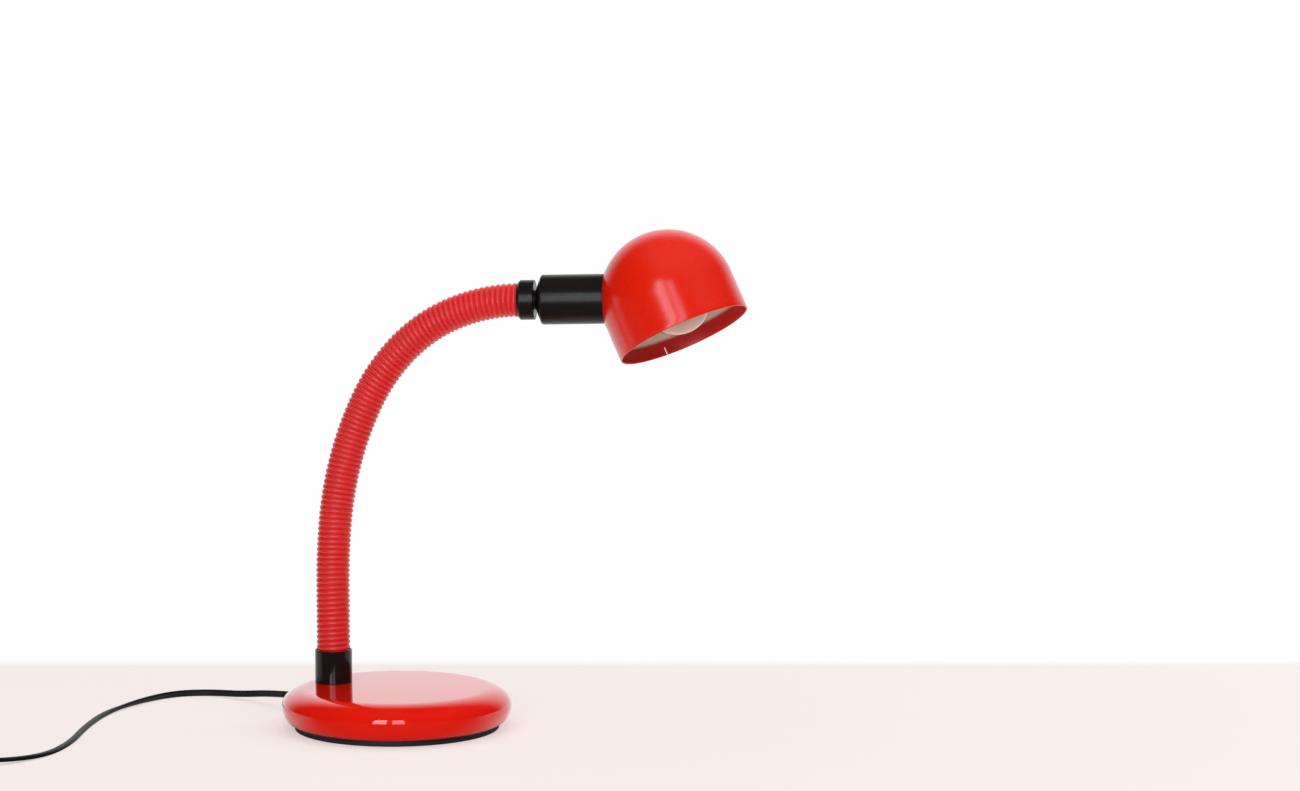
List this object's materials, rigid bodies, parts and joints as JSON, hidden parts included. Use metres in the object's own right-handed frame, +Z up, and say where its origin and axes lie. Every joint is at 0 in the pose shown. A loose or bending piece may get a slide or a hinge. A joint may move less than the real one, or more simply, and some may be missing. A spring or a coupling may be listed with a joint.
{
  "type": "gooseneck desk lamp",
  "caption": "Desk lamp with a round weighted base, a ribbed flexible neck, a round lampholder, a tilted dome shade over an opal bulb, and a mains cord with rocker switch and plug.",
  "frame": {"origin": "on the table under the middle of the round base", "axes": "-Z through the table face under the base; +Z up; the neck bends over towards +X, turned 6 degrees towards -Y"},
  "size_m": [0.6641, 0.4684, 0.3919],
  "materials": {
    "red_enamel": "gloss",
    "red_sleeve": "gloss",
    "cast_iron": "matte",
    "zinc_steel": "satin",
    "black_gloss": "gloss",
    "black_lacquer": "satin",
    "black_rubber": "matte",
    "black_cord": "satin",
    "black_plastic": "satin",
    "rocker_plastic": "satin",
    "lead_sheath": "satin",
    "white_plastic": "satin",
    "brass": "polished",
    "bulb_glass": "gloss",
    "bulb_metal": "satin"
  },
  "bodies": {
    "base": {"base_cover": "red_enamel", "base_weight": "cast_iron", "bottom_plate": "black_lacquer", "foot_ring": "black_rubber", "bottom_screws": "zinc_steel", "lower_ferrule": "black_gloss", "lower_stud": "zinc_steel", "lower_washer": "zinc_steel", "lower_nut": "zinc_steel", "terminal_block": "white_plastic", "wiring_screws": "zinc_steel", "cord_clamp": "black_plastic", "cord_boot": "black_rubber", "inner_mains_lead": "black_cord", "base_lead": "lead_sheath", "mains_cord": "black_cord", "switch_tail_cord": "black_cord", "cord_coil": "black_cord", "coil_tie": "black_cord", "plug_lead_cord": "black_cord", "plug_body": "black_plastic", "plug_pins": "brass", "switch_base": "black_plastic", "switch_cover": "black_plastic", "neck_sleeve_1": "red_sleeve", "neck_core_1": "zinc_steel", "neck_lead_1": "lead_sheath"},
    "neck_2": {"neck_sleeve_2": "red_sleeve", "neck_core_2": "zinc_steel", "neck_lead_2": "lead_sheath"},
    "neck_3": {"neck_sleeve_3": "red_sleeve", "neck_core_3": "zinc_steel", "neck_lead_3": "lead_sheath"},
    "neck_4": {"neck_sleeve_4": "red_sleeve", "neck_core_4": "zinc_steel", "neck_lead_4": "lead_sheath"},
    "neck_5": {"neck_sleeve_5": "red_sleeve", "neck_core_5": "zinc_steel", "neck_lead_5": "lead_sheath"},
    "neck_6": {"neck_sleeve_6": "red_sleeve", "neck_core_6": "zinc_steel", "neck_lead_6": "lead_sheath"},
    "neck_7": {"neck_sleeve_7": "red_sleeve", "neck_core_7": "zinc_steel", "neck_lead_7": "lead_sheath", "upper_ferrule": "black_gloss", "upper_stud": "zinc_steel", "swivel_spacer": "black_plastic", "friction_washer": "zinc_steel", "swivel_nut": "zinc_steel"},
    "head": {"lampholder": "black_gloss", "lamp_socket": "white_plastic", "socket_contact": "brass", "socket_screw_shell": "brass", "shade_ring": "black_plastic", "shade": "red_enamel", "bulb_glass": "bulb_glass", "bulb_cap": "bulb_metal", "bulb_base_contact": "bulb_metal"},
    "rocker": {"switch_rocker": "rocker_plastic"}
  },
  "joints": [
    {"name": "neck_side_1", "type": "hinge", "parent": "base", "child": "neck_2", "pos_m": [-0.051, 0.023, 0.1084], "axis": [0.9945, -0.1045, 0], "range_deg": [-20, 20]},
    {"name": "neck_bend_2", "type": "hinge", "parent": "neck_2", "child": "neck_3", "pos_m": [-0.04881, 0.02277, 0.15884], "axis": [0.1045, 0.9945, 0], "range_deg": [-22, 14]},
    {"name": "neck_bend_3", "type": "hinge", "parent": "neck_3", "child": "neck_4", "pos_m": [-0.0401, 0.02185, 0.20851], "axis": [0.1045, 0.9945, 0], "range_deg": [-22, 14]},
    {"name": "neck_bend_4", "type": "hinge", "parent": "neck_4", "child": "neck_5", "pos_m": [-0.02274, 0.02003, 0.25582], "axis": [0.1045, 0.9945, 0], "range_deg": [-22, 14]},
    {"name": "neck_bend_5", "type": "hinge", "parent": "neck_5", "child": "neck_6", "pos_m": [0.00576, 0.01703, 0.29713], "axis": [0.1045, 0.9945, 0], "range_deg": [-22, 14]},
    {"name": "neck_side_6", "type": "hinge", "parent": "neck_6", "child": "neck_7", "pos_m": [0.04699, 0.0127, 0.32535], "axis": [0.3806, -0.04, -0.9239], "range_deg": [-20, 20]},
    {"name": "head_swivel", "type": "hinge", "parent": "neck_7", "child": "head", "pos_m": [0.09584, 0.00757, 0.33575], "axis": [0.9942, -0.1045, 0.0244], "range_deg": [-165, 165]},
    {"name": "switch_rocker_tilt", "type": "hinge", "parent": "base", "child": "rocker", "pos_m": [-0.338, -0.174, 0.011], "axis": [-0.4226, 0.9063, 0], "range_deg": [0, 16]}
  ]
}
